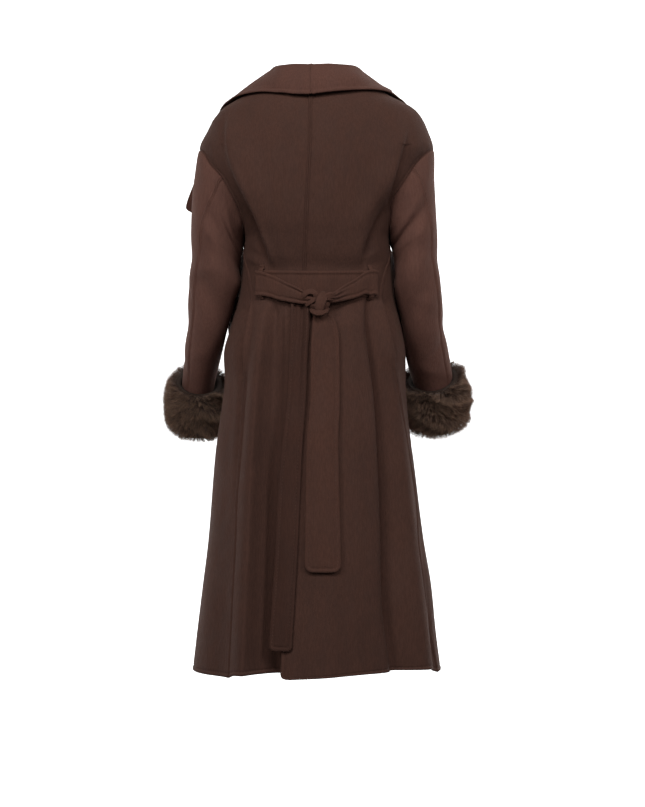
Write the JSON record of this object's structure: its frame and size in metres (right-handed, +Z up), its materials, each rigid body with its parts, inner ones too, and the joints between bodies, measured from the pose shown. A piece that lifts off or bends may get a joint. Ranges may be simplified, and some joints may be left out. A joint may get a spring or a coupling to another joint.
{
  "type": "long wool wrap coat with fur cuffs",
  "caption": "Full-length wrap coat of smooth wool with a wide shawl collar, fur cuffs and its own belt tied at the back, kept in the hollow form it has when worn",
  "frame": {"origin": "The point between the shoulders from which the coat hangs, at the height of the shoulders' tops.", "axes": "+Z up along the wearer, -Y out of the coat's back, +Y out of its front, +X to the wearer's right."},
  "size_m": [0.6034, 0.3883, 1.1534],
  "materials": {
    "wool": "smooth brushed chocolate wool with a short nap",
    "collar_wool": "the same wool, with its nap catching more light",
    "sleeve_wool": "smooth brushed chocolate wool with a short nap",
    "belt_wool": "the same wool, stitched along its edges",
    "fur": "long dark brown fur with lighter tips"
  },
  "bodies": {
    "root": {"back_left": "wool", "back_right": "wool", "front_left": "wool", "front_right": "wool", "collar_left": "collar_wool", "collar_right": "collar_wool", "sleeve_upper_left": "sleeve_wool", "sleeve_under_left": "sleeve_wool", "sleeve_upper_right": "sleeve_wool", "sleeve_under_right": "sleeve_wool", "cuff_left": "fur", "cuff_right": "fur", "waist_band_back": "belt_wool", "belt_wrap_left": "belt_wool", "belt_wrap_right": "belt_wool", "belt_knot": "belt_wool", "belt_tail_wide": "belt_wool", "belt_tail_long": "belt_wool", "belt_loop_left": "belt_wool", "belt_loop_right": "belt_wool"}
  },
  "joints": []
}
